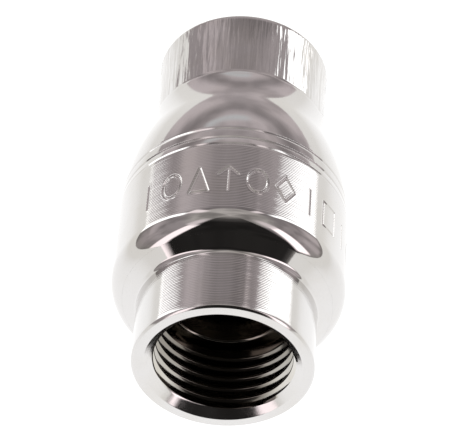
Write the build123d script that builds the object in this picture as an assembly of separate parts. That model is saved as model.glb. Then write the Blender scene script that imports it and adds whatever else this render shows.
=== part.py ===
from build123d import *
import math
import os

# Spring loaded inline check valve with two G 1/2 threaded sockets.
# Millimetres. The flow runs along +Y, the inlet face is at y = -HALF_LENGTH, +Z is up,
# and the origin is on the flow axis at half length. Every profile below is given as
# (station, radius) pairs, where the station is the distance from the inlet face.

# overall
LENGTH = 56.5
HALF_LENGTH = LENGTH / 2

# G 1/2 pipe thread of both sockets, cut as a ring groove at every pitch. Both minor radii
# are inside the thread's tolerance, which runs from 9.316 to 9.586.
PIPE_PITCH = 1.814
INLET_MINOR_R = 9.33
OUTLET_MINOR_R = 9.52
PIPE_MAJOR_R = 10.478
PIPE_FLANK = math.tan(math.radians(27.5))
PIPE_ROOT_HALF = 0.14
PIPE_FIRST_GROOVE = 1.70
PIPE_GROOVES = 5
SOCKET_MOUTH_R = 10.7
SOCKET_DEPTH = 11.4

# M27 x 1.5 closure thread between the end cap and the body
CLOSURE_PITCH = 1.5
CLOSURE_FLANK = math.tan(math.radians(30))
CLOSURE_FIRST = 15.35
CLOSURE_TURNS = 3
CAP_ROOT_R = 12.6
CAP_CREST_R = 13.45
CAP_CREST_HALF = 0.12
BODY_CREST_R = 12.7
BODY_ROOT_R = 13.55
BODY_ROOT_HALF = 0.112

# end cap
NECK_R = 12.25
NECK_EDGE = 0.3
NECK_END = 10.0
FLANGE_R = 14.25
FLANGE_START = 11.3
FLANGE_END = 13.0
RELIEF_R = 12.2
RELIEF_END = 14.6
CAP_END = 19.3
PASSAGE_R = 7.6
SEAT_S = 15.99
SEAT_LIP_R = 8.4
SEAT_FLOOR_S = 15.4
SEAT_RECESS_R = 10.9

# body, outside
LIP_START = 11.34
LIP_START_R = 14.4
LIP_R = 3.74
LIP_ANGLE = math.radians(55)
BAND_R = 16.0
BAND_START = 14.4
BAND_END = 26.3
STRIP_START = 27.7
STRIP_END = 29.4
STRIP_START_R = 15.78
STRIP_END_R = 15.73
SHOULDER_MID = (33.7, 15.15)
SHOULDER_BEND = (38.0, 13.92)
THROAT_MID = (40.9, 13.02)
THROAT_END = (44.4, 12.42)
SOCKET_START = (44.65, 12.0)
SOCKET_END_R = 12.24
SOCKET_ROUND = 0.7

# body, inside
MOUTH_R = 14.3
RING_CAVITY_R = 13.95
RING_CAVITY_END = 14.5
CHAMBER_START = 19.6
CHAMBER_R = 12.5
CLIP_GROOVE = (32.7, 33.85)
CLIP_GROOVE_R = 13.25
CHAMBER_END = 36.4
FUNNEL_R = 10.9
OUTLET_PASSAGE_START = 42.5
OUTLET_PASSAGE_R = 8.6

# plain geometric marks and flow arrows, stamped around the top of the band
MARK_S = 19.7
MARK_HEIGHT = 4.4
MARK_WIDTH = 2.75
MARK_STROKE = 0.26
MARK_DEPTH = 0.12
MARK_FIRST_DEG = -43.9
MARK_PITCH_DEG = 14.3

# body seal
O_RING_S = 13.75
O_RING_R = 13.075
O_RING_SIZE = (1.73, 1.46)
O_RING_CORNER = 0.6

# poppet
STEM_R = 2.0
STEM_START = 16.3
STEM_END = 42.0
RETAINER_R = 6.9
RETAINER_S = (15.3, 15.98)
RETAINER_BOSS_R = 3.15
SEAL_R = (3.2, 8.95)
SEAL_S = (16.0, 17.6)
PLATE_R = 9.7
PLATE_S = (17.6, 19.4)
PLATE_RIM_S = 16.9
LOCK_WASHER_R = (2.1, 3.8)
LOCK_WASHER_S = (19.4, 20.3)
NUT_S = (20.3, 23.5)
NUT_FLATS = 7.0
SLEEVE_R = 3.2
SLEEVE_S = (23.5, 27.4)
STEM_CLIP_S = (39.9, 40.6)
STEM_CLIP_R = 3.6
STEM_GROOVE_R = 1.6

# spring and guide
SPRING_R = 5.0
SPRING_WIRE_R = 0.45
SPRING_S = (19.4, 32.4)
SPRING_TURNS = 6
SPRING_WASHER_S = (32.4, 33.0)
SPRING_WASHER_R = 6.2
HUB_S = (33.0, 38.5)
HUB_R = 5.0
SPIDER_RIM_R = (10.7, 12.45)
SPIDER_RIM_S = (33.9, 36.38)
SPIDER_ARM_WIDTH = 2.2
BUSH_R = (2.06, 3.0)
BUSH_FLANGE_R = 4.2
BUSH_FLANGE_END = 39.3
CLIP_RING_R = (11.6, 13.2)
CLIP_RING_S = (32.75, 33.8)
CLIP_GAP = 5.0
CLIP_LUG_R = 1.15
CLIP_LUG_HOLE_R = 0.55


def at(station, radius):
    """A point of a profile, in the XY plane."""
    return (radius, station - HALF_LENGTH)


def turned(*pieces):
    """A solid turned about the flow axis. A piece is a point, joined by a line to the one
    before, or a pair of points, joined by an arc through the first to the second."""
    edges = []
    start = last = at(*pieces[0])
    for piece in pieces[1:]:
        if isinstance(piece[0], tuple):
            middle, end = at(*piece[0]), at(*piece[1])
            edges.append(ThreePointArc(last, middle, end))
        else:
            end = at(*piece)
            edges.append(Line(last, end))
        last = end
    edges.append(Line(last, start))
    return revolve(make_face(edges), Axis.Y)


def ring(inner, outer, start, end):
    return turned((start, inner), (start, outer), (end, outer), (end, inner))


def teeth(first, count, pitch, base_r, tip_r, tip_half, flank):
    """The profile points of ring shaped thread teeth or grooves, each a trapezium."""
    base_half = tip_half + abs(tip_r - base_r) * flank
    points = []
    for i in range(count):
        c = first + i * pitch
        points.append((c - base_half, base_r))
        points.append((c - tip_half, tip_r))
        points.append((c + tip_half, tip_r))
        points.append((c + base_half, base_r))
    return points


def pipe_socket(minor_r):
    """The wall of a G 1/2 socket, from its mouth to the floor at SOCKET_DEPTH."""
    grooves = teeth(PIPE_FIRST_GROOVE, PIPE_GROOVES, PIPE_PITCH,
                    minor_r, PIPE_MAJOR_R, PIPE_ROOT_HALF, PIPE_FLANK)
    # the countersink runs into the first groove's flank
    flank_foot = grooves[0][0]
    meet = (SOCKET_MOUTH_R - minor_r + flank_foot / PIPE_FLANK) / (1 + 1 / PIPE_FLANK)
    mouth = [(0, SOCKET_MOUTH_R), (meet, SOCKET_MOUTH_R - meet)]
    relief = PIPE_FIRST_GROOVE + PIPE_GROOVES * PIPE_PITCH - PIPE_ROOT_HALF
    foot = relief - (PIPE_MAJOR_R - minor_r) * PIPE_FLANK
    end = [(foot, minor_r), (relief, PIPE_MAJOR_R), (SOCKET_DEPTH, PIPE_MAJOR_R)]
    return mouth + grooves[1:] + end


def inlet_end_cap():
    closure = teeth(CLOSURE_FIRST, CLOSURE_TURNS, CLOSURE_PITCH,
                    CAP_ROOT_R, CAP_CREST_R, CAP_CREST_HALF, CLOSURE_FLANK)
    edge = 0.2
    outside = [
        (0, NECK_R - NECK_EDGE),
        (NECK_EDGE, NECK_R),
        (NECK_END - 0.25, NECK_R),
        ((NECK_END - 0.05, NECK_R + 0.05), (NECK_END + 0.13, NECK_R + 0.21)),
        (FLANGE_START, FLANGE_R),
        (FLANGE_END, FLANGE_R),
        (FLANGE_END, RELIEF_R),
        (RELIEF_END, RELIEF_R),
        (RELIEF_END, CAP_ROOT_R),
        *closure,
        (CAP_END - 0.2, CAP_ROOT_R),
        (CAP_END, CAP_ROOT_R - 0.2),
    ]
    inside = [
        (CAP_END, SEAT_RECESS_R),
        (SEAT_FLOOR_S, SEAT_RECESS_R),
        (SEAT_FLOOR_S, SEAT_LIP_R + 0.3),
        (SEAT_S, SEAT_LIP_R),
        (SEAT_S, PASSAGE_R + edge),
        (SEAT_S - edge, PASSAGE_R),
        (SOCKET_DEPTH + edge, PASSAGE_R),
        (SOCKET_DEPTH, PASSAGE_R + edge),
        *reversed(pipe_socket(INLET_MINOR_R)),
    ]
    return turned(*outside, *inside)


def body_shell():
    closure = teeth(CLOSURE_FIRST, CLOSURE_TURNS, CLOSURE_PITCH,
                    BODY_CREST_R, BODY_ROOT_R, BODY_ROOT_HALF, CLOSURE_FLANK)
    half = LIP_ANGLE / 2
    lip_mid = (BAND_START - LIP_R * math.sin(half), BAND_R - LIP_R * (1 - math.cos(half)))
    turn = 1 - math.sqrt(0.5)
    outside = [
        (LIP_START, MOUTH_R),
        (LIP_START, LIP_START_R),
        (lip_mid, (BAND_START, BAND_R)),
        (BAND_END, BAND_R),
        (STRIP_START, STRIP_START_R),
        (STRIP_END, STRIP_END_R),
        (SHOULDER_MID, SHOULDER_BEND),
        (THROAT_MID, THROAT_END),
        SOCKET_START,
        (LENGTH - SOCKET_ROUND, SOCKET_END_R),
        ((LENGTH - SOCKET_ROUND * turn, SOCKET_END_R - SOCKET_ROUND * turn),
         (LENGTH, SOCKET_END_R - SOCKET_ROUND)),
    ]
    socket = [(LENGTH - s, r) for s, r in pipe_socket(OUTLET_MINOR_R)]
    inside = [
        *socket,
        (LENGTH - SOCKET_DEPTH, OUTLET_PASSAGE_R),
        (OUTLET_PASSAGE_START, OUTLET_PASSAGE_R),
        (CHAMBER_END, FUNNEL_R),
        (CHAMBER_END, CHAMBER_R),
        (CLIP_GROOVE[1], CHAMBER_R),
        (CLIP_GROOVE[1], CLIP_GROOVE_R),
        (CLIP_GROOVE[0], CLIP_GROOVE_R),
        (CLIP_GROOVE[0], CHAMBER_R),
        (CHAMBER_START, CHAMBER_R),
        (CHAMBER_START, BODY_CREST_R),
        *reversed(closure),
        (RING_CAVITY_END, BODY_CREST_R),
        (RING_CAVITY_END, RING_CAVITY_R),
        (FLANGE_END, RING_CAVITY_R),
        (FLANGE_END, MOUTH_R),
    ]
    return turned(*outside, *inside)


def stroke(start, end):
    """A straight stamped line between two points of a mark."""
    dx, dy = end[0] - start[0], end[1] - start[1]
    middle = Pos((start[0] + end[0]) / 2, (start[1] + end[1]) / 2)
    line = SlotOverall(math.hypot(dx, dy) + MARK_STROKE, MARK_STROKE)
    return middle * Rot(0, 0, math.degrees(math.atan2(dy, dx))) * line


def outline_mark(points):
    """Strokes along a chain of points."""
    mark = stroke(points[0], points[1])
    for a, b in zip(points[1:], points[2:]):
        mark += stroke(a, b)
    return mark


def mark_shapes():
    """The flat shapes of the marks, with x round the band and y along the flow."""
    w, h = MARK_WIDTH / 2, MARK_HEIGHT / 2
    arrow = outline_mark([(0, -h), (0, h)]) + outline_mark([(-w, h - w), (0, h), (w, h - w)])
    bar = outline_mark([(0, -h), (0, h)])
    wedge = outline_mark([(-w, -h), (0, h), (w, -h), (-w, -h)])
    block = outline_mark([(-w, -h), (-w, h), (w, h), (w, -h), (-w, -h)])
    hoop = Ellipse(w + MARK_STROKE / 2, h) - Ellipse(w - MARK_STROKE / 2, h - MARK_STROKE)
    diamond = outline_mark([(0, -h), (w, 0), (0, h), (-w, 0), (0, -h)])
    return [bar, hoop, wedge, arrow, hoop, diamond, bar, block]


def valve_body():
    body = body_shell()
    shapes = mark_shapes()
    for i in range(2 * len(shapes)):
        turn = MARK_FIRST_DEG + i * MARK_PITCH_DEG
        face = Pos(0, MARK_S - HALF_LENGTH, BAND_R - MARK_DEPTH) * shapes[i % len(shapes)]
        body -= Rot(0, turn, 0) * extrude(face, 1)
    return body


def body_o_ring():
    width, length = O_RING_SIZE
    section = Pos(*at(O_RING_S, O_RING_R)) * RectangleRounded(width, length, O_RING_CORNER)
    return revolve(section, Axis.Y)


def poppet_stem():
    start, end = STEM_CLIP_S
    tip = 0.4
    return turned(
        (STEM_START, 0),
        (STEM_START, STEM_R - tip),
        (STEM_START + tip, STEM_R),
        (start - 0.05, STEM_R),
        (start - 0.05, STEM_GROOVE_R),
        (end + 0.05, STEM_GROOVE_R),
        (end + 0.05, STEM_R),
        (STEM_END - tip, STEM_R),
        (STEM_END, STEM_R - tip),
        (STEM_END, 0),
    )


def seal_retainer():
    """The front disc, whose boss passes through the seal and takes the stem's end."""
    front, back = RETAINER_S
    return turned(
        (front, 0),
        (front, RETAINER_R - 0.3),
        (front + 0.3, RETAINER_R),
        (back, RETAINER_R),
        (back, RETAINER_BOSS_R),
        (PLATE_S[0] - 0.02, RETAINER_BOSS_R),
        (PLATE_S[0] - 0.02, STEM_R + 0.02),
        (STEM_START - 0.02, STEM_R + 0.02),
        (STEM_START - 0.02, 0),
    )


def seal_washer():
    inner, outer = SEAL_R
    front, back = SEAL_S
    return turned((front, inner), (front, outer - 0.3), (front + 0.3, outer),
                  (back, outer), (back, inner))


def poppet_plate():
    """The cupped plate behind the seal, with a low rim that centres the spring."""
    front, back = PLATE_S
    rim = SPRING_R + SPRING_WIRE_R + 0.25
    return turned(
        (front, STEM_R + 0.05),
        (front, SEAL_R[1] + 0.05),
        (PLATE_RIM_S, SEAL_R[1] + 0.05),
        (PLATE_RIM_S, PLATE_R),
        (back - 0.3, PLATE_R),
        (back, PLATE_R - 0.3),
        (back, rim + 0.9),
        (back + 0.6, rim + 0.7),
        (back + 0.6, rim),
        (back, rim),
        (back, STEM_R + 0.05),
    )


def lock_washer():
    """A split spring washer."""
    inner, outer = LOCK_WASHER_R
    start, end = LOCK_WASHER_S
    split = Rot(0, 0, 12) * Box(0.5, 4, 4)
    return ring(inner, outer, start, end) - Pos(0, start - HALF_LENGTH, 3) * split


def retainer_nut():
    """A plain hexagon nut with its corners turned off on both faces."""
    start, end = NUT_S
    corner_r = NUT_FLATS / math.sqrt(3)
    hexagon = Rot(90, 0, 0) * RegularPolygon(corner_r, 6)
    block = extrude(Pos(0, start - HALF_LENGTH, 0) * hexagon, end - start, dir=(0, 1, 0))
    cut = 0.35
    limit = turned(
        (start, STEM_R + 0.05),
        (start, corner_r - cut),
        (start + cut, corner_r + 0.1),
        (end - cut, corner_r + 0.1),
        (end, corner_r - cut),
        (end, STEM_R + 0.05),
    )
    return block & limit


def stop_sleeve():
    start, end = SLEEVE_S
    return turned((start, STEM_R + 0.05), (start, SLEEVE_R), (end - 0.3, SLEEVE_R),
                  (end, SLEEVE_R - 0.3), (end, STEM_R + 0.05))


def spring():
    """A round wire compression spring."""
    gap = SPRING_WIRE_R + 0.02
    height = SPRING_S[1] - SPRING_S[0] - 2 * gap
    coil = Helix(height / SPRING_TURNS, height, SPRING_R)
    profile = Plane(origin=coil @ 0, z_dir=coil % 0) * Circle(SPRING_WIRE_R)
    wire = sweep(profile, path=coil, is_frenet=True)
    return Pos(0, SPRING_S[0] + gap - HALF_LENGTH, 0) * Rot(-90, 0, 0) * wire


def spring_washer():
    start, end = SPRING_WASHER_S
    return ring(STEM_R + 0.3, SPRING_WASHER_R, start, end)


def guide_spider():
    """A rim and a hub joined by four arms that let the flow through."""
    hub_start, hub_end = HUB_S
    rim_start, rim_end = SPIDER_RIM_S
    bore = BUSH_R[1]
    hub = turned((hub_start, bore), (hub_start, HUB_R), (hub_end - 0.6, HUB_R),
                 (hub_end, HUB_R - 0.6), (hub_end, bore))
    inner, outer = SPIDER_RIM_R
    rim = turned((rim_start, inner), (rim_start, outer - 0.3), (rim_start + 0.3, outer),
                 (rim_end, outer), (rim_end, inner))
    depth = rim_end - rim_start
    centre = (rim_start + rim_end) / 2 - HALF_LENGTH
    reach = (HUB_R + inner) / 2
    arm = Box(inner - HUB_R + 1, depth, SPIDER_ARM_WIDTH)
    spider = hub + rim
    for i in range(4):
        spider += Rot(0, 45 + 90 * i, 0) * Pos(reach, centre, 0) * arm
    return spider


def guide_bush():
    """A flanged plastic sleeve pressed into the hub."""
    inner, outer = BUSH_R
    start, end = HUB_S
    return turned((start, inner), (start, outer), (end, outer), (end, BUSH_FLANGE_R),
                  (BUSH_FLANGE_END, BUSH_FLANGE_R), (BUSH_FLANGE_END, inner))


def retaining_ring():
    """An internal snap ring with a gap and two pliers lugs."""
    inner, outer = CLIP_RING_R
    start, end = CLIP_RING_S
    thick, centre = end - start, (start + end) / 2 - HALF_LENGTH
    clip = ring(inner, outer, start, end)
    clip -= Pos(0, centre, outer) * Box(CLIP_GAP, 2 * thick, 4 * (outer - inner))
    lug_r = inner - 0.3
    lug_turn = math.degrees((CLIP_GAP / 2 + CLIP_LUG_R) / lug_r)
    for side in (-1, 1):
        place = Rot(0, side * lug_turn, 0) * Pos(0, centre, lug_r) * Rot(90, 0, 0)
        clip += place * Cylinder(CLIP_LUG_R, thick)
        clip -= place * Cylinder(CLIP_LUG_HOLE_R, 2 * thick)
    return clip


def stem_clip():
    """An E shaped clip in the stem's groove."""
    start, end = STEM_CLIP_S
    thick, centre = end - start, (start + end) / 2 - HALF_LENGTH
    clip = ring(STEM_GROOVE_R + 0.9, STEM_CLIP_R, start, end)
    for turn in (-100, 0, 100):
        lobe = Pos(0, centre, -(STEM_GROOVE_R + 0.75)) * Box(1.5, thick, 1.4)
        clip += Rot(0, turn, 0) * lobe
    clip -= ring(0, STEM_GROOVE_R + 0.03, start - 1, end + 1)
    clip -= Pos(0, centre, STEM_CLIP_R) * Box(2.6, 2 * thick, 2 * STEM_CLIP_R - 1)
    return clip


SUB_PARTS = [
    valve_body,
    inlet_end_cap,
    body_o_ring,
    guide_spider,
    guide_bush,
    retaining_ring,
    spring_washer,
    spring,
    poppet_stem,
    poppet_plate,
    seal_washer,
    seal_retainer,
    lock_washer,
    retainer_nut,
    stop_sleeve,
    stem_clip,
]

os.makedirs("parts", exist_ok=True)
for sub_part in SUB_PARTS:
    export_step(sub_part(), f"parts/{sub_part.__name__}.step")
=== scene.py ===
import math

import bmesh
import bpy
import numpy as np
from mathutils import Matrix, Vector


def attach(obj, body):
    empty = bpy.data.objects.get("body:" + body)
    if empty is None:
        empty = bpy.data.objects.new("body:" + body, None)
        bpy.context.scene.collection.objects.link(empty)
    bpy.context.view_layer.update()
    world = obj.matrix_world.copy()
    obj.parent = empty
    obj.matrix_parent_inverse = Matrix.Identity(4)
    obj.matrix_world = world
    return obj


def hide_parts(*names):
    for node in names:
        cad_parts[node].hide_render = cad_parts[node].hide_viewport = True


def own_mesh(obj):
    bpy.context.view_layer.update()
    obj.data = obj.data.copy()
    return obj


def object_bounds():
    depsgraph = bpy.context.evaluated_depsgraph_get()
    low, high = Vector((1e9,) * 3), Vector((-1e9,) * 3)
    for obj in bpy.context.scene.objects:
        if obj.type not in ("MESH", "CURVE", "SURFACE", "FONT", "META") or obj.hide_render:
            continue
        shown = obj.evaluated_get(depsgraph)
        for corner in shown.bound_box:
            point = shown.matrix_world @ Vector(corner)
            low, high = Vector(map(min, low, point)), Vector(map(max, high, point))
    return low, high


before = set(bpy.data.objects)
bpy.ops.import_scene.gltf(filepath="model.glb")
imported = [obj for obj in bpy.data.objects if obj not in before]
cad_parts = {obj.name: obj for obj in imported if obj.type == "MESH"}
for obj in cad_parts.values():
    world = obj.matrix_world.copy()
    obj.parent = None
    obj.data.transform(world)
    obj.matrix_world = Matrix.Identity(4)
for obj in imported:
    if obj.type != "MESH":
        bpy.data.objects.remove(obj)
cad_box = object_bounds()

# Inline check valve. Lengths below are millimetres. The flow axis is Y, a station is the
# distance from the inlet face, and a turn goes round the axis from +Z towards +X.
MM = 0.001
LENGTH = 56.5
HALF = LENGTH / 2
TAU = 2 * math.pi
COLUMNS = 256

# G 1/2 thread
PITCH = 1.814
MAJOR_R = 10.478
INLET_MINOR_R = 9.33
OUTLET_MINOR_R = 9.52
FLANK = math.tan(math.radians(27.5))
ROOT_HALF = 0.14
ROOT_ROUND = 0.13
CREST_ROUND = 0.12
FIRST_GROOVE = 1.70
START_FADE = (-0.25, 0.1)
SOCKET_DEPTH = 11.4
RELIEF_START = 10.63

# countersunk mouth of both sockets
MOUTH_R = 10.7
MOUTH_EDGE = 0.08
MOUTH_SLOPE = math.tan(math.radians(50))
MOUTH_BLEND = 0.25

# closure thread between the cap and the body
CLOSURE_FIRST = 15.35
CLOSURE_RIDGES = 3
CLOSURE_PITCH = 1.5
CLOSURE_FLANK = math.tan(math.radians(30))

# inlet end cap
RIM_FLAT_R = 11.2
RIM_BEVEL = 0.3
NECK_R = 12.25
NECK_END = 10.0
NECK_FILLET = 0.9
FLANGE_START = 11.3
FLANGE_END = 13.0
FLANGE_R = 14.298
FLANGE_SIDE_R = 14.27
PILOT_R = 12.2
CAP_THREAD_START = 14.6
CAP_ROOT_R = 12.6
CAP_CREST_R = 13.45
CAP_CREST_HALF = 0.12
CAP_END = 19.3
CAP_CAVITY_R = 10.9
SEAT_BACK = 15.4
SEAT_TIP = 15.99
SEAT_FOOT_R = 8.7
SEAT_TIP_R = 8.4
PORT_R = 7.6
BEVEL = 0.2

# valve body, outside
BODY_MOUTH_R = 14.3
LIP = ((11.303, 14.303), (12.66, 15.577), (14.4, 16.0))
BAND_R = 16.0
STAMPED = (17.05, 22.36)
STAMPED_MARGIN = (16.95, 22.5)
BAND_TURNED_END = 25.8
STRIP_END = (30.0, 15.71)
SHOULDER = ((29.4, 15.73), (33.7, 15.15), (38.0, 13.92))
THROAT = ((38.0, 13.92), (40.9, 13.02), (44.4, 12.42))
CREASE = (44.65, 12.0)
CREASE_ROUND = 0.1
BRUSHED_FROM = (45.3, 12.007)
FLARE_END = (55.4, 12.22)
OUTLET_RIM_R = 12.27
OUTLET_RIM_ROUND = 0.7
OUTLET_FLAT_R = 11.4

# valve body, inside
SEAL_CAVITY_R = 13.95
SEAL_CAVITY_END = 14.5
CHAMBER_START = 19.6
CHAMBER_R = 12.5
BODY_CREST_R = 12.7
BODY_ROOT_R = 13.55
BODY_ROOT_HALF = 0.112
CLIP_GROOVE = (32.7, 33.85)
CLIP_GROOVE_R = 13.25
CHAMBER_END = 36.4
FUNNEL_R = 10.9
PASSAGE_START = 42.5
PASSAGE_R = 8.6
WALL_COLUMNS = 192

# marks on the band
MARK_S = 19.7
MARK_HEIGHT = 4.4
MARK_WIDTH = 2.75
MARK_HALF_STROKE = 0.12
MARK_EDGE = 0.07
MARK_DEPTH = 0.09
MARK_LIP = 0.012
MARK_LIP_OFFSET = 0.14
MARK_LIP_WIDTH = 0.08
MARK_REACH = 0.6
MARK_FIRST = math.radians(-43.9)
MARK_PITCH = math.radians(14.3)
MARKED_COLUMNS = 720
PLAIN_COLUMNS = 90
ROW = 0.09


# ---------------------------------------------------------------- profiles

def soften(points, steps=4):
    """A polyline of (station, radius) points. A third number rounds that corner."""
    out = []
    for i, p in enumerate(points):
        if len(p) == 2:
            out.append(p)
            continue
        corner = np.array(p[:2])
        back = np.array(points[i - 1][:2]) - corner
        ahead = np.array(points[i + 1][:2]) - corner
        back, ahead = back / np.linalg.norm(back), ahead / np.linalg.norm(ahead)
        half = math.acos(np.clip(back @ ahead, -1, 1)) / 2
        middle = (back + ahead) / np.linalg.norm(back + ahead)
        centre = corner + middle * p[2] / math.sin(half)
        first = corner + back * p[2] / math.tan(half) - centre
        last = corner + ahead * p[2] / math.tan(half) - centre
        sweep = math.pi - 2 * half
        for k in range(steps + 1):
            a = sweep * k / steps
            q = (math.sin(sweep - a) * first + math.sin(a) * last) / math.sin(sweep)
            out.append(tuple(centre + q))
    return out


def bend(start, middle, end, steps):
    """The points after start of the arc through three points."""
    (ax, ay), (bx, by), (cx, cy) = start, middle, end
    d = 2 * (ax * (by - cy) + bx * (cy - ay) + cx * (ay - by))
    aa, bb, cc = ax * ax + ay * ay, bx * bx + by * by, cx * cx + cy * cy
    ux = (aa * (by - cy) + bb * (cy - ay) + cc * (ay - by)) / d
    uy = (aa * (cx - bx) + bb * (ax - cx) + cc * (bx - ax)) / d
    first = math.atan2(ay - uy, ax - ux)
    sweep = (math.atan2(cy - uy, cx - ux) - first + math.pi) % TAU - math.pi
    r = math.hypot(ax - ux, ay - uy)
    return [
        (ux + r * math.cos(first + sweep * k / steps), uy + r * math.sin(first + sweep * k / steps))
        for k in range(1, steps + 1)
    ]


def closure_teeth(base_r, tip_r, tip_half):
    """The closure thread's ridges, or its grooves when the tips are outside the base."""
    base_half = tip_half + abs(tip_r - base_r) * CLOSURE_FLANK
    points = []
    for i in range(CLOSURE_RIDGES):
        c = CLOSURE_FIRST + i * CLOSURE_PITCH
        points += [(c - base_half, base_r), (c - tip_half, tip_r),
                   (c + tip_half, tip_r), (c + base_half, base_r)]
    return points


def smooth(x, low, high):
    t = np.clip((x - low) / (high - low), 0, 1)
    return t * t * (3 - 2 * t)


# ---------------------------------------------------------------- shells

def place(station, radius, turn):
    station, radius, turn = np.broadcast_arrays(station, radius, turn)
    x, z = radius * np.sin(turn), radius * np.cos(turn)
    return np.stack([x, station - HALF, z], -1) * MM


class Shell:
    """A closed mesh made of patches that are welded where they meet."""

    def __init__(self):
        self.points, self.faces, self.finishes, self.count = [], [], [], 0

    def add(self, points):
        ids = self.count + np.arange(points[..., 0].size).reshape(points.shape[:-1])
        self.points.append(points.reshape(-1, 3))
        self.count += ids.size
        return ids

    def quads(self, a, b, c, d, finish):
        quads = np.stack([a.ravel(), b.ravel(), c.ravel(), d.ravel()], -1)
        self.faces += quads.tolist()
        self.finishes += [finish] * len(quads)

    def lathe(self, profile, finish, turns=None):
        """Rings through the profile's points."""
        if turns is None:
            turns = TAU * np.arange(COLUMNS) / COLUMNS
        s, r = np.array(profile, float).T
        ids = self.add(place(s[:, None], r[:, None], turns[None, :]))
        ahead = np.roll(ids, -1, axis=1)
        self.quads(ids[:-1], ahead[:-1], ahead[1:], ids[1:], finish)

    def surface(self, station, radius, turns, finish):
        """Rings whose station and radius are given at every turn."""
        ids = self.add(place(station, radius, turns[None, :]))
        ahead = np.roll(ids, -1, axis=1)
        self.quads(ids[:-1], ahead[:-1], ahead[1:], ids[1:], finish)

    def zip(self, one, one_turns, other, other_turns, finish):
        """Triangles between two rings that have different turns. A ring is (station, radius)."""
        a = self.add(place(*one, one_turns)).tolist()
        b = self.add(place(*other, other_turns)).tolist()
        ta, tb = list(one_turns) + [TAU + one_turns[0]], list(other_turns) + [TAU + other_turns[0]]
        i = j = 0
        while i < len(a) or j < len(b):
            if j == len(b) or (i < len(a) and ta[i + 1] <= tb[j + 1]):
                self.faces.append([a[i], a[(i + 1) % len(a)], b[j % len(b)]])
                i += 1
            else:
                self.faces.append([a[i % len(a)], b[(j + 1) % len(b)], b[j]])
                j += 1
            self.finishes.append(finish)

    def helix(self, minor_r, inlet, columns, finish, mouth_finish):
        """The wall of a threaded socket, whose rows follow a right-handed thread. The
        countersink at its mouth has a finish of its own."""
        crest_half = ROOT_HALF + (MAJOR_R - minor_r) * FLANK
        turn_profile = soften([
            (-PITCH / 2, minor_r),
            (-crest_half, minor_r, CREST_ROUND),
            (-(crest_half + ROOT_HALF) / 2, (minor_r + MAJOR_R) / 2),
            (-ROOT_HALF, MAJOR_R, ROOT_ROUND), (ROOT_HALF, MAJOR_R, ROOT_ROUND),
            ((crest_half + ROOT_HALF) / 2, (minor_r + MAJOR_R) / 2),
            (crest_half, minor_r, CREST_ROUND),
            (PITCH / 2, minor_r),
        ], steps=3)[:-1]
        count = len(turn_profile)
        laps = math.ceil(SOCKET_DEPTH / PITCH) + 2
        offsets = np.array([o + lap * PITCH for lap in range(-1, laps) for o, _ in turn_profile])
        radii = np.array([r for _ in range(-1, laps) for _, r in turn_profile])
        offsets += FIRST_GROOVE - PITCH / 2
        turns = TAU * np.arange(columns) / columns
        depth = offsets[:, None] + PITCH * turns[None, :] / TAU
        depth = np.clip(depth, MOUTH_EDGE, SOCKET_DEPTH)
        relief = minor_r + (depth - RELIEF_START + (MAJOR_R - minor_r) * FLANK) / FLANK
        ring_end = (MOUTH_R - minor_r) / MOUTH_SLOPE
        started = smooth(depth, ring_end + START_FADE[0], ring_end + START_FADE[1])
        radius = minor_r + (radii[:, None] - minor_r) * started
        cone = MOUTH_R - depth * MOUTH_SLOPE
        mouth = cone >= radius
        blend = np.maximum(MOUTH_BLEND - np.abs(cone - radius), 0)
        radius = np.maximum(radius, cone) + blend ** 2 / (4 * MOUTH_BLEND)
        radius = np.maximum(radius, np.minimum(relief, MAJOR_R))
        radius = np.where(depth <= MOUTH_EDGE, MOUTH_R - MOUTH_EDGE * MOUTH_SLOPE, radius)
        radius = np.where(depth >= SOCKET_DEPTH, MAJOR_R, radius)
        if inlet:
            ids = self.add(place(depth, radius, turns[None, :]))
        else:
            ids = self.add(place(LENGTH - depth, radius, -turns[None, :]))
        last = len(ids) - 1
        ahead = np.roll(ids, -1, axis=1)
        rows = np.minimum(np.arange(len(ids)) + count, last)
        ahead[:, -1] = ids[rows, 0]
        mouth_ahead = np.roll(mouth, -1, axis=1)
        mouth_ahead[:, -1] = mouth[rows, 0]
        whole = (mouth[:-1] & mouth[1:] & mouth_ahead[:-1] & mouth_ahead[1:]).ravel()
        self.quads(ids[:-1], ahead[:-1], ahead[1:], ids[1:], finish)
        self.finishes[-whole.size:] = np.where(whole, mouth_finish, finish).tolist()

    def build(self, name, materials, sharp_angle=32):
        points = np.concatenate(self.points)
        keys = np.round(points / (MM * 1e-4)).astype(np.int64)
        _, first, number = np.unique(keys, axis=0, return_index=True, return_inverse=True)
        number = number.ravel()
        faces, finishes = [], []
        for face, finish in zip(self.faces, self.finishes):
            kept = []
            for v in (number[k] for k in face):
                if v not in kept:
                    kept.append(int(v))
            if len(kept) > 2:
                faces.append(kept)
                finishes.append(finish)
        mesh = bpy.data.meshes.new(name)
        mesh.from_pydata(points[first].tolist(), [], faces)
        for material in materials:
            mesh.materials.append(material)
        mesh.polygons.foreach_set("material_index", finishes)
        return finish_mesh(name, mesh, sharp_angle)


def finish_mesh(name, mesh, sharp_angle=32):
    work = bmesh.new()
    work.from_mesh(mesh)
    bmesh.ops.recalc_face_normals(work, faces=work.faces)
    work.to_mesh(mesh)
    work.free()
    mesh.polygons.foreach_set("use_smooth", [True] * len(mesh.polygons))
    mesh.set_sharp_from_angle(angle=math.radians(sharp_angle))
    piece = bpy.data.objects.new(name, mesh)
    bpy.context.scene.collection.objects.link(piece)
    weighted = piece.modifiers.new("even_normals", "WEIGHTED_NORMAL")
    weighted.keep_sharp = True
    return piece


# ---------------------------------------------------------------- marks on the band

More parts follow.
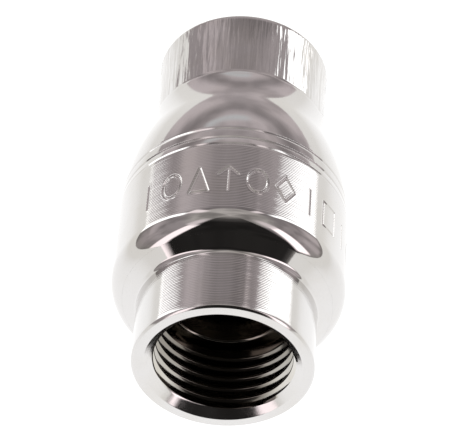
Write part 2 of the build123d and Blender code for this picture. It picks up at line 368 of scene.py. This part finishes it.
def mark_lines():
    """The centre lines of the marks, each a list of chains of (x round the band, y) points."""
    w, h = MARK_WIDTH / 2, MARK_HEIGHT / 2
    oval = [(w * math.cos(TAU * k / 28), (h - MARK_HALF_STROKE) * math.sin(TAU * k / 28))
            for k in range(29)]
    arrow = [[(0, -h), (0, h)], [(-w, h - w), (0, h), (w, h - w)]]
    bar = [[(0, -h), (0, h)]]
    wedge = [[(-w, -h), (0, h), (w, -h), (-w, -h)]]
    block = [[(-w, -h), (-w, h), (w, h), (w, -h), (-w, -h)]]
    diamond = [[(0, -h), (w, 0), (0, h), (-w, 0), (0, -h)]]
    hoop = [oval]
    return [bar, hoop, wedge, arrow, hoop, diamond, bar, block]


def stroke_distance(x, y, chains):
    """The distance of every point from the nearest stroke of a mark."""
    nearest = np.full(x.shape, 9.0)
    for chain in chains:
        for (ax, ay), (bx, by) in zip(chain, chain[1:]):
            dx, dy = bx - ax, by - ay
            t = np.clip(((x - ax) * dx + (y - ay) * dy) / (dx * dx + dy * dy), 0, 1)
            nearest = np.minimum(nearest, np.hypot(x - ax - t * dx, y - ay - t * dy))
    return nearest


def stamped_band(shell, first_s, last_s, finish):
    """The band with its stamped marks pressed in, and a faint raised lip round each stroke."""
    shapes = mark_lines()
    turns_of_marks = [MARK_FIRST + i * MARK_PITCH for i in range(2 * len(shapes))]
    reach = (MARK_WIDTH / 2 + MARK_REACH) / BAND_R
    low, high = turns_of_marks[0] - reach, turns_of_marks[-1] + reach
    fine = np.linspace(low, high, MARKED_COLUMNS)
    coarse = np.linspace(high, low + TAU, PLAIN_COLUMNS)[1:-1]
    turns = np.concatenate([fine, coarse])
    stations = np.arange(first_s, last_s + ROW / 2, ROW)
    s, turn = np.meshgrid(stations, turns, indexing="ij")
    radius = np.full(s.shape, BAND_R)
    for i, middle in enumerate(turns_of_marks):
        near = np.abs(turn - middle) < reach
        x, y = (turn[near] - middle) * BAND_R, s[near] - MARK_S
        d = stroke_distance(x, y, shapes[i % len(shapes)])
        groove = MARK_DEPTH * (1 - smooth(d, 0.0, MARK_HALF_STROKE + MARK_EDGE))
        lip = MARK_LIP * np.exp(-((d - MARK_HALF_STROKE - MARK_LIP_OFFSET) / MARK_LIP_WIDTH) ** 2)
        radius[near] += lip - groove
    shell.surface(s, radius, turns, finish)
    return turns, stations[0], stations[-1]


# ---------------------------------------------------------------- node trees

class Graph:
    def __init__(self, owner):
        owner.use_nodes = True
        self.tree = owner.node_tree
        self.tree.nodes.clear()

    def node(self, kind, **settings):
        made = self.tree.nodes.new("ShaderNode" + kind)
        for key, value in settings.items():
            setattr(made, key, value)
        return made

    def put(self, socket, value):
        if isinstance(value, bpy.types.NodeSocket):
            self.tree.links.new(value, socket)
        else:
            socket.default_value = value

    def math(self, operation, *values):
        made = self.node("Math", operation=operation)
        for socket, value in zip(made.inputs, values):
            self.put(socket, value)
        return made.outputs[0]

    def vector(self, operation, *values, out=0):
        made = self.node("VectorMath", operation=operation)
        for socket, value in zip(made.inputs, values):
            self.put(socket, value)
        return made.outputs[out]

    def scaled(self, vector, factor):
        made = self.node("VectorMath", operation="SCALE")
        self.put(made.inputs["Vector"], vector)
        self.put(made.inputs["Scale"], factor)
        return made.outputs[0]

    def range(self, value, low, high, to_low=0.0, to_high=1.0):
        """Goes smoothly from to_low at low to to_high at high."""
        made = self.node("MapRange", interpolation_type="SMOOTHSTEP")
        for key, v in (("Value", value), ("From Min", low), ("From Max", high),
                       ("To Min", to_low), ("To Max", to_high)):
            self.put(made.inputs[key], v)
        return made.outputs["Result"]

    def mix(self, factor, a, b):
        made = self.node("Mix", data_type="RGBA")
        self.put(made.inputs[0], factor)
        for socket, value in ((made.inputs[6], a), (made.inputs[7], b)):
            self.put(socket, value if isinstance(value, bpy.types.NodeSocket) else (*value, 1))
        return made.outputs[2]

    def ramp(self, value, stops):
        """A colour along stops of (position, colour)."""
        made = self.node("ValToRGB")
        self.put(made.inputs[0], value)
        elements = made.color_ramp.elements
        while len(elements) > 1:
            elements.remove(elements[-1])
        elements[0].position, elements[0].color = stops[0][0], (*stops[0][1], 1)
        for position, colour in stops[1:]:
            elements.new(position).color = (*colour, 1)
        return made.outputs[0]

    def noise(self, vector, scale, detail=2.0, roughness=0.5):
        made = self.node("TexNoise")
        self.put(made.inputs["Vector"], vector)
        made.inputs["Scale"].default_value = scale
        made.inputs["Detail"].default_value = detail
        made.inputs["Roughness"].default_value = roughness
        return made.outputs["Fac"]

    def line_noise(self, value, detail=2.0):
        """Noise along one number."""
        made = self.node("TexNoise", noise_dimensions="1D")
        self.put(made.inputs["W"], value)
        made.inputs["Scale"].default_value = 1.0
        made.inputs["Detail"].default_value = detail
        return made.outputs["Fac"]


# how fine each noise is, in cells per metre
LINE_WANDER = 900.0
LINE_UNEVEN = 1700.0
LINE_FINE = 11000.0
STREAK_FINE = 4200.0
STREAK_BROAD = 900.0
CLOUDS = 420.0
SCRATCHES = 5200.0
WORN = 130.0
PIT_DEPTH = 0.004 * MM
GRAIN_DEPTH = 0.02 * MM
# distances from the middle over which the painted shade in the bores grows
BORE_SHADE_FROM, BORE_SHADE_TO = 28.0 * MM, 19.0 * MM


def metal(name, colour, rough, feed=0.29, feed_tilt=0.0, tilt=0.0, streak=0.0,
          faced=False, anisotropy=0.5, blur="axial", stain=0.04, scratch=0.25, painted_shade=None):
    """A worked metal. Turning lines tip its normal along the axis, or along the radius on a
    faced surface, and polishing streaks tip it round the axis. Tilts are in radians. The last
    colour, when given, is painted shade: away from the ends and at the top and bottom."""
    made = bpy.data.materials.new(name)
    g = Graph(made)
    where = g.node("TexCoord").outputs["Object"]
    normal = g.node("NewGeometry").outputs["Normal"]
    x, y, z = g.node("SeparateXYZ").outputs[:3]
    g.put(x.node.inputs[0], where)
    flat = g.vector("MULTIPLY", where, (1, 0, 1))
    radius = g.vector("LENGTH", flat, out=1)
    radial = g.vector("NORMALIZE", flat)
    round_axis = g.vector("CROSS_PRODUCT", (0, 1, 0), radial)
    along = radius if faced else y
    direction = radial if faced else (0.0, 1.0, 0.0)

    # turning lines
    wander = g.math("MULTIPLY", g.line_noise(g.math("MULTIPLY", along, LINE_WANDER)), 3.0)
    phase = g.math("ADD", g.math("MULTIPLY", along, TAU / (feed * MM)), wander)
    uneven = g.math("ADD", g.line_noise(g.math("MULTIPLY", along, LINE_UNEVEN)), 0.35)
    lines = g.math("MULTIPLY", g.math("MULTIPLY", g.math("SINE", phase), uneven), feed_tilt)
    fine = g.math("SUBTRACT", g.line_noise(g.math("MULTIPLY", along, LINE_FINE), 3.0), 0.5)
    lines = g.math("ADD", lines, g.math("MULTIPLY", fine, 2 * tilt))

    # polishing streaks, long along the axis and fine round it
    stretched = g.vector("MULTIPLY", where, (1, 0.035, 1))
    streaks = g.math("SUBTRACT", g.noise(stretched, STREAK_FINE, 4.0, 0.6), 0.5)
    broad = g.math("SUBTRACT", g.noise(stretched, STREAK_BROAD, 3.0, 0.5), 0.5)
    streaks = g.math("ADD", g.math("MULTIPLY", streaks, 2 * streak),
                     g.math("MULTIPLY", broad, 0.7 * streak))

    tipped = g.vector("ADD", normal, g.scaled(direction, lines))
    tipped = g.vector("ADD", tipped, g.scaled(round_axis, streaks))
    tipped = g.vector("NORMALIZE", tipped)

    # fine scratches and pits
    cloud = g.noise(where, CLOUDS, 5.0, 0.6)
    scratches = g.noise(g.vector("MULTIPLY", where, (1, 0.12, 0.6)), SCRATCHES, 3.0, 0.7)
    bump = g.node("Bump")
    bump.inputs["Strength"].default_value = scratch
    bump.inputs["Distance"].default_value = PIT_DEPTH
    g.put(bump.inputs["Height"], g.math("ADD", g.math("MULTIPLY", cloud, 2.0), scratches))
    g.put(bump.inputs["Normal"], tipped)

    # wear, dull marks and the film
    worn = g.range(g.noise(where, WORN, 4.0, 0.6), 0.42, 0.72)
    dull = g.range(scratches, 0.45, 0.8)
    stained = tuple(c * (1 - stain * k) for c, k in zip(colour, (0.8, 1.0, 1.5)))
    dulled = tuple(c * (1 - 2 * stain) for c in colour)
    shade = g.mix(worn, colour, stained)
    shade = g.mix(g.math("MULTIPLY", dull, 0.35), shade, dulled)
    # painted shade in the bore: darker away from the ends and towards its top and bottom
    if painted_shade:
        shade_mask = g.range(g.math("ABSOLUTE", y), BORE_SHADE_FROM, BORE_SHADE_TO, 0.0, 0.85)
        beside = g.math("DIVIDE", g.math("ABSOLUTE", x), radius)
        shade_mask = g.math("MAXIMUM", shade_mask, g.range(beside, 0.9, 0.45, 0.0, 0.95))
        shade = g.mix(shade_mask, shade, painted_shade)
    roughness = g.math("ADD", g.range(cloud, 0.3, 0.75, rough * 0.8, rough * 1.3),
                       g.math("MULTIPLY", dull, rough * 0.35))

    surface = g.node("BsdfPrincipled")
    surface.inputs["Metallic"].default_value = 1.0
    surface.inputs["Anisotropic"].default_value = anisotropy
    g.put(surface.inputs["Base Color"], shade)
    g.put(surface.inputs["Roughness"], roughness)
    g.put(surface.inputs["Normal"], bump.outputs["Normal"])
    if blur == "axial":
        g.put(surface.inputs["Tangent"], g.vector("CROSS_PRODUCT", normal, round_axis))
    else:
        g.put(surface.inputs["Tangent"], round_axis)
    g.put(g.node("OutputMaterial").inputs["Surface"], surface.outputs[0])
    return made


def soft_material(name, colour, rough, grain, specks=0.1):
    """Moulded rubber or turned plastic, with a grain of that many cells per metre."""
    made = bpy.data.materials.new(name)
    g = Graph(made)
    where = g.node("TexCoord").outputs["Object"]
    fine = g.noise(where, grain, 4.0, 0.6)
    cloud = g.noise(where, grain * 0.08, 3.0, 0.5)
    bump = g.node("Bump")
    bump.inputs["Strength"].default_value = 0.5
    bump.inputs["Distance"].default_value = GRAIN_DEPTH
    g.put(bump.inputs["Height"], fine)
    darker = tuple(c * (1 - specks) for c in colour)
    lighter = tuple(min(1, c * 1.25 + 0.01) for c in colour)
    shade = g.mix(g.range(cloud, 0.35, 0.7), colour, darker)
    shade = g.mix(g.range(fine, 0.62, 0.78, 0.0, 0.5), shade, lighter)
    surface = g.node("BsdfPrincipled")
    g.put(surface.inputs["Base Color"], shade)
    g.put(surface.inputs["Roughness"], g.range(fine, 0.3, 0.7, rough * 0.85, rough * 1.1))
    g.put(surface.inputs["Normal"], bump.outputs["Normal"])
    g.put(g.node("OutputMaterial").inputs["Surface"], surface.outputs[0])
    return made


# ---------------------------------------------------------------- materials

NICKEL = (0.675, 0.662, 0.655)
turned_nickel = metal("turned_nickel", NICKEL, 0.055, feed_tilt=0.045, tilt=0.008, streak=0.002)
faced_nickel = metal("faced_nickel", NICKEL, 0.12, feed=0.12, feed_tilt=0.01, tilt=0.01,
                     streak=0.003, faced=True)
polished_nickel = metal("polished_nickel", NICKEL, 0.06, tilt=0.002, streak=0.006,
                        blur="round", anisotropy=0.6)
brushed_nickel = metal("brushed_nickel", NICKEL, 0.075, tilt=0.002, streak=0.5,
                       blur="round", anisotropy=0.8)
bright_nickel = metal("bright_nickel", NICKEL, 0.04, tilt=0.004, streak=0.001, scratch=0.15)
# the bores' metal, with painted shade deep inside
bore_nickel = metal("bore_nickel", (0.68, 0.66, 0.63), 0.1, feed_tilt=0.01, tilt=0.01,
                    streak=0.008, stain=0.12, painted_shade=(0.17, 0.155, 0.135))
TURNED, FACED, POLISHED, BRUSHED, BRIGHT, BORE = range(6)
NICKELS = [turned_nickel, faced_nickel, polished_nickel, brushed_nickel, bright_nickel, bore_nickel]
dark_disc = metal("dark_disc", (0.16, 0.14, 0.12), 0.25, feed=0.2, feed_tilt=0.01, tilt=0.01,
                  faced=True, stain=0.2)

brass = metal("turned_brass", (0.72, 0.55, 0.27), 0.24, feed=0.15, feed_tilt=0.02, tilt=0.02,
              stain=0.18)
stainless = metal("turned_stainless", (0.56, 0.56, 0.57), 0.24, feed=0.12, feed_tilt=0.015,
                  tilt=0.02, stain=0.05)
wire_steel = metal("wire_steel", (0.46, 0.46, 0.48), 0.3, feed=0.2, tilt=0.01, streak=0.02,
                   blur="round", stain=0.1)
rubber = soft_material("black_rubber", (0.035, 0.033, 0.033), 0.62, 5200.0)
plastic = soft_material("white_plastic", (0.78, 0.77, 0.74), 0.42, 3800.0, 0.05)


# ---------------------------------------------------------------- inlet end cap

cap = Shell()
edge = (MOUTH_EDGE, MOUTH_R - MOUTH_EDGE * MOUTH_SLOPE)
cap.lathe(soften([edge, (0.0, MOUTH_R, 0.05), (0.0, RIM_FLAT_R)]), FACED)
cap.lathe(soften([
    (0.0, RIM_FLAT_R), (0.0, NECK_R - RIM_BEVEL, 0.12), (RIM_BEVEL, NECK_R, 0.25), (0.8, NECK_R),
]), FACED)
cap.lathe([(s, NECK_R) for s in np.linspace(0.8, 9.3, 5)], TURNED)
cap.lathe(soften([
    (9.3, NECK_R), (NECK_END, NECK_R, NECK_FILLET), (FLANGE_START, FLANGE_R), (11.9, FLANGE_R),
], 8), BRIGHT)
cap.lathe(soften([
    (11.9, FLANGE_R), (12.1, FLANGE_SIDE_R), (FLANGE_END, FLANGE_SIDE_R, 0.1),
    (FLANGE_END, PILOT_R, 0.15), (CAP_THREAD_START, PILOT_R), (CAP_THREAD_START, CAP_ROOT_R),
    *closure_teeth(CAP_ROOT_R, CAP_CREST_R, CAP_CREST_HALF),
    (CAP_END - BEVEL, CAP_ROOT_R), (CAP_END, CAP_ROOT_R - BEVEL), (CAP_END, CAP_CAVITY_R, 0.1),
    (SEAT_BACK, CAP_CAVITY_R, 0.25), (SEAT_BACK, SEAT_FOOT_R), (SEAT_TIP, SEAT_TIP_R, 0.12),
    (SEAT_TIP, PORT_R + BEVEL, 0.05), (SEAT_TIP - BEVEL, PORT_R, 0.1),
    (SOCKET_DEPTH + BEVEL, PORT_R, 0.15), (SOCKET_DEPTH, PORT_R + BEVEL, 0.08),
    (SOCKET_DEPTH, MAJOR_R),
]), BORE)
cap.helix(INLET_MINOR_R, True, COLUMNS, BORE, FACED)
inlet_cap = cap.build("inlet_cap", NICKELS)
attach(inlet_cap, "housing")
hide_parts("inlet_end_cap")


# ---------------------------------------------------------------- valve body

body = Shell()
lip = [LIP[0], *bend(*LIP, 20)]
body.lathe([(FLANGE_END, BODY_MOUTH_R), (11.6, BODY_MOUTH_R)], BORE)
body.lathe([(11.6, BODY_MOUTH_R), (11.31, BODY_MOUTH_R), lip[0]], BRIGHT)
body.lathe(lip, BRIGHT)

# the band, whose stamped part has finer columns than its neighbours
before, after = STAMPED_MARGIN
body.lathe([LIP[2], (before, BAND_R)], TURNED)
band_turns, band_from, band_to = stamped_band(body, *STAMPED, TURNED)
even = TAU * np.arange(COLUMNS) / COLUMNS
start = int(np.searchsorted(even, band_turns[0] % TAU))
shifted = np.concatenate([even[start:] - TAU, even[:start]])
body.zip((before, BAND_R), shifted, (band_from, BAND_R), band_turns, TURNED)
body.zip((band_to, BAND_R), band_turns, (after, BAND_R), shifted, TURNED)
body.lathe([(after, BAND_R), (BAND_TURNED_END, BAND_R)], TURNED)

# three fine grooves, then the shoulder, the throat and the crease
body.lathe(soften([
    (BAND_TURNED_END, BAND_R), (26.15, BAND_R, 0.2), (26.32, 15.9, 0.06), (26.62, 15.94, 0.2),
    (27.5, 15.85, 0.5), (27.72, 15.75, 0.08), (28.0, 15.82, 0.2), (29.2, 15.76, 0.6),
    (29.42, 15.68, 0.08), (29.7, 15.73, 0.25), STRIP_END,
]), POLISHED)
shoulder = [p for p in [*bend(*SHOULDER, 14), *bend(*THROAT, 14)] if p[0] > STRIP_END[0]]
body.lathe([STRIP_END, *shoulder[:-1]], POLISHED)
body.lathe(soften([
    shoulder[-2], (*THROAT[2], CREASE_ROUND), (*CREASE, CREASE_ROUND), BRUSHED_FROM,
]), POLISHED)

# the outlet socket flares a little towards its rim
body.lathe([
    BRUSHED_FROM, (48.0, 12.035), (50.0, 12.06), (51.6, 12.085), (53.0, 12.12), (54.4, 12.175),
    FLARE_END,
], BRUSHED)
body.lathe(soften([
    FLARE_END, (LENGTH, OUTLET_RIM_R, OUTLET_RIM_ROUND), (LENGTH, OUTLET_FLAT_R),
], 8), BRUSHED)
body.lathe(soften([
    (LENGTH, OUTLET_FLAT_R), (LENGTH, MOUTH_R, 0.05), (LENGTH - edge[0], edge[1]),
]), FACED)
body.helix(OUTLET_MINOR_R, False, WALL_COLUMNS, BORE, FACED)

wall = TAU * np.arange(WALL_COLUMNS) / WALL_COLUMNS
body.lathe(soften([
    (LENGTH - SOCKET_DEPTH, MAJOR_R), (LENGTH - SOCKET_DEPTH, PASSAGE_R, 0.12),
    (PASSAGE_START, PASSAGE_R, 0.4), (CHAMBER_END, FUNNEL_R, 0.1), (CHAMBER_END, CHAMBER_R),
    (CLIP_GROOVE[1], CHAMBER_R), (CLIP_GROOVE[1], CLIP_GROOVE_R),
    (CLIP_GROOVE[0], CLIP_GROOVE_R), (CLIP_GROOVE[0], CHAMBER_R),
    (CHAMBER_START, CHAMBER_R, 0.1), (CHAMBER_START, BODY_CREST_R),
    *reversed(closure_teeth(BODY_CREST_R, BODY_ROOT_R, BODY_ROOT_HALF)),
    (SEAL_CAVITY_END, BODY_CREST_R, 0.1), (SEAL_CAVITY_END, SEAL_CAVITY_R),
    (FLANGE_END, SEAL_CAVITY_R),
]), BORE, wall)
body.zip((FLANGE_END, SEAL_CAVITY_R), wall, (FLANGE_END, BODY_MOUTH_R), even, BORE)
body_shell = body.build("body_shell", NICKELS)
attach(body_shell, "housing")
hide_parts("valve_body")


# ---------------------------------------------------------------- spring

def coil_spring():
    """Round wire with a closed, ground turn at each end."""
    wire, mean, start, end, turns, sides = 0.45, 5.0, 19.4, 32.4, 7.5, 16
    steps = int(turns * 40)
    t = np.linspace(0, turns, steps + 1)
    low, high = start + wire * 0.75, end - wire * 0.75
    closed = 2 * wire * 0.98
    open_rise = high - low - 2 * closed
    rise = np.interp(t, [0, 1, turns - 1, turns], [0, closed, closed + open_rise, high - low])
    kernel = np.hanning(21)
    rise = np.convolve(np.pad(rise, 10, mode="edge"), kernel / kernel.sum(), mode="valid")
    rise[0], rise[-1] = 0, high - low
    angle = TAU * t
    line = place(low + rise, mean, angle) / MM
    ahead = np.gradient(line, axis=0)
    ahead /= np.linalg.norm(ahead, axis=1)[:, None]
    out = np.stack([np.sin(angle), np.zeros_like(angle), np.cos(angle)], -1)
    up = np.cross(ahead, out)
    a = TAU * np.arange(sides) / sides
    ring = (np.cos(a)[None, :, None] * out[:, None, :] + np.sin(a)[None, :, None] * up[:, None, :])
    points = line[:, None, :] + wire * ring
    points[..., 1] = np.clip(points[..., 1], start + 0.01 - HALF, end - 0.01 - HALF)
    count = points.shape[0] * sides
    ids = np.arange(count).reshape(-1, sides)
    side = np.roll(ids, -1, axis=1)
    faces = np.stack([ids[:-1], side[:-1], side[1:], ids[1:]], -1).reshape(-1, 4).tolist()
    faces += [ids[0].tolist(), ids[-1].tolist()]
    mesh = bpy.data.meshes.new("coil_spring")
    mesh.from_pydata((points.reshape(-1, 3) * MM).tolist(), [], faces)
    mesh.materials.append(wire_steel)
    return finish_mesh("coil_spring", mesh, 40)


spring = coil_spring()
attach(spring, "housing")
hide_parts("spring")
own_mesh(spring)


# ---------------------------------------------------------------- carried-over pieces

FINISHES = {
    "body_o_ring": rubber, "seal_washer": rubber,
    "guide_spider": brass, "poppet_plate": brass, "stop_sleeve": brass,
    "seal_retainer": dark_disc,
    "guide_bush": plastic,
    "spring_washer": stainless, "poppet_stem": stainless, "lock_washer": stainless,
    "retainer_nut": stainless,
    "retaining_ring": wire_steel, "stem_clip": wire_steel,
}
for node, material in FINISHES.items():
    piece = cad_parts[node]
    if not piece.material_slots:
        piece.data.materials.append(material)
    for held in piece.material_slots:
        held.material = material


# ---------------------------------------------------------------- studio

PINK = (1.10, 0.985, 1.0)
WARM = (1.06, 0.99, 0.95)
COOL = (0.99, 1.0, 1.02)
WHITE = (1, 1, 1)
SHEET = (1.0, 0.99, 0.965)
METAL_SHARE = 0.67

# The surround by height. Each stop is a height in degrees, the value that bright metal shows there
# in 8 bits, and a tint.
BACK = [(0, 157, PINK), (10, 154, PINK), (14.5, 134, PINK), (19, 124, PINK), (22.5, 138, PINK),
        (27, 156, PINK), (30, 152, PINK), (34, 146, PINK), (38, 132, PINK), (41, 134, PINK),
        (43.5, 120, PINK), (46.5, 108, PINK), (49.5, 98, PINK), (52.5, 102, PINK),
        (57, 140, WARM), (80, 158, WARM), (90, 158, WARM)]
SIDES = [(0, 122, WARM), (10, 128, PINK), (22, 136, PINK), (32, 120, PINK), (46, 124, PINK),
         (58, 142, WARM), (75, 122, WARM), (90, 150, WARM)]
BEHIND = [(0, 120, WARM), (1.5, 62, WARM), (4, 30, WARM), (60, 28, WARM), (74, 70, WARM),
          (86, 140, WARM), (90, 150, WARM)]
BACK_TO_SIDES = (34, 56)
SIDES_TO_BEHIND = (131, 139)

# Softboxes and pale patches, all in degrees: the azimuth at eye height, how far that leans for each
# degree of height, the half width, the feather, the bottom, the top, the fade at the top, then the
# value and the tint as above.
SOFTBOXES = [
    (66, 0.0, 9, 5, 3, 20, 6, 164, PINK),
    (95, 0.0, 9, 6, 3, 24, 6, 158, PINK),
    (-76, 0.0, 16, 6, 16, 24, 5, 156, PINK),
    (-43, 0.0, 8, 4, 42, 60, 6, 220, PINK),
    (32, 0.0, 5, 3, 44, 56, 5, 212, PINK),
    (-134, 0.12, 10, 6, 46, 64, 8, 190, PINK),
    (132, -0.32, 11, 7, 48, 66, 8, 190, PINK),
    (-52.5, 0.02, 5.0, 1.2, -3, 42, 4, 290, WHITE),
    (47.5, -0.13, 4.2, 1.2, -3, 41, 5, 290, WHITE),
    (-135.3, 0.0, 7.8, 2.2, -3, 46, 5, 250, PINK),
    (-8, 0.0, 15, 4, 25.5, 29.5, 2.5, 174, COOL),
    (131.5, -0.33, 9.0, 3.0, 3, 47, 5, 270, PINK),
]
BOTTOM_FADE = 2

# the floor in metres, and its glow near the object and far from it, a painted pool of light round
# the object
FLOOR_HALF = 3.0
FLOOR_GAP = 0.0001
FLOOR_GLOW = (0.16, 0.03)
FLOOR_FAR = (0.98, 0.965, 0.935)
FLOOR_NEAR = (1.22, 1.22, 1.22)


def grey(value, tint=WHITE):
    """The radiance of a surround that bright metal shows as that 8 bit value."""
    v = value / 255
    linear = v / 12.92 if v < 0.04045 else ((v + 0.055) / 1.055) ** 2.4
    return tuple(linear / METAL_SHARE * t for t in tint)


def softbox(g, shade, az, el, row):
    """The surround with one softbox laid over it."""
    centre, lean, half, feather, bottom, top, fade, value, tint = row
    middle = g.math("MULTIPLY_ADD", el, lean, centre)
    across = g.range(g.math("ABSOLUTE", g.math("SUBTRACT", az, middle)),
                     half + feather, half - feather)
    mask = g.math("MULTIPLY", across, g.range(el, bottom - BOTTOM_FADE, bottom + BOTTOM_FADE))
    mask = g.math("MULTIPLY", mask, g.range(el, top + fade, top - fade))
    return g.mix(mask, shade, grey(value, tint))


def studio():
    """What the metal reflects. The camera itself sees plain white."""
    made = bpy.data.worlds.new("studio")
    bpy.context.scene.world = made
    g = Graph(made)
    direction = g.node("TexCoord").outputs["Generated"]
    parts = g.node("SeparateXYZ")
    g.put(parts.inputs[0], direction)
    dx, dy, dz = parts.outputs[:3]
    az = g.math("MULTIPLY", g.math("ARCTAN2", dx, dy), 360 / TAU)
    el = g.math("MULTIPLY", g.math("ARCSINE", dz), 360 / TAU)
    side = g.math("ABSOLUTE", az)
    height = g.math("DIVIDE", el, 90.0)

    back, sides, behind = (
        g.ramp(height, [(e / 90, grey(value, tint)) for e, value, tint in stops])
        for stops in (BACK, SIDES, BEHIND)
    )
    shade = g.mix(g.range(side, *BACK_TO_SIDES), back, sides)
    shade = g.mix(g.range(side, *SIDES_TO_BEHIND), shade, behind)
    cloud = g.noise(g.vector("MULTIPLY", direction, (1, 1, 1.6)), 2.6, 2.0)
    patches = g.range(cloud, 0.35, 0.65, 0.82, 1.2)
    uneven = g.node("Mix", data_type="RGBA", blend_type="MULTIPLY")
    g.put(uneven.inputs[0], 1.0)
    g.put(uneven.inputs[6], shade)
    g.put(uneven.inputs[7], patches)
    shade = uneven.outputs[2]
    for row in SOFTBOXES:
        shade = softbox(g, shade, az, el, row)

    # the pale sheet below, which meets the back wall softly and the sides sharply
    edge_width = g.range(side, 62, 50, 0.4, 4.5)
    shade = g.mix(g.range(g.math("DIVIDE", el, edge_width), 0.3, -1.0), shade, SHEET)

    lit, seen = g.node("Background"), g.node("Background")
    g.put(lit.inputs["Color"], shade)
    seen.inputs["Color"].default_value = (1, 1, 1, 1)
    mixed = g.node("MixShader")
    g.put(mixed.inputs[0], g.node("LightPath").outputs["Is Camera Ray"])
    g.put(mixed.inputs[1], lit.outputs[0])
    g.put(mixed.inputs[2], seen.outputs[0])
    g.put(g.node("OutputWorld").inputs["Surface"], mixed.outputs[0])


def floor():
    """A pale sheet that glows evenly, with a painted pool of light round the object."""
    made = bpy.data.materials.new("pale_sheet")
    g = Graph(made)
    where = g.node("TexCoord").outputs["Object"]
    # painted pool of light: the sheet glows brighter near the object
    near = g.range(g.vector("LENGTH", where, out=1), *FLOOR_GLOW)
    glow = g.node("Emission")
    g.put(glow.inputs["Color"], g.mix(near, FLOOR_FAR, FLOOR_NEAR))
    g.put(g.node("OutputMaterial").inputs["Surface"], glow.outputs[0])
    mesh = bpy.data.meshes.new("floor")
    wide = FLOOR_HALF
    z = cad_box[0].z - FLOOR_GAP
    mesh.from_pydata([(-wide, -wide, z), (wide, -wide, z), (wide, wide, z), (-wide, wide, z)], [],
                     [[0, 1, 2, 3]])
    mesh.materials.append(made)
    sheet = bpy.data.objects.new("floor", mesh)
    bpy.context.scene.collection.objects.link(sheet)


studio()
floor()

camera_data = bpy.data.cameras.new("camera")
camera_data.sensor_width = 36
camera_data.lens = 220.1
camera_data.clip_start = 0.01
camera_data.clip_end = 20
camera = bpy.data.objects.new("camera", camera_data)
bpy.context.scene.collection.objects.link(camera)
right = Vector((0.99854, 0.05403, 0.0))
up = Vector((-0.03901, 0.72095, 0.69188))
back = Vector((0.03738, -0.69087, 0.72201))
turned = Matrix((right, up, back)).transposed().to_4x4()
camera.matrix_world = Matrix.Translation((0.01397, -0.27046, 0.28198)) @ turned
bpy.context.scene.camera = camera
bpy.context.scene.view_settings.view_transform = "Standard"
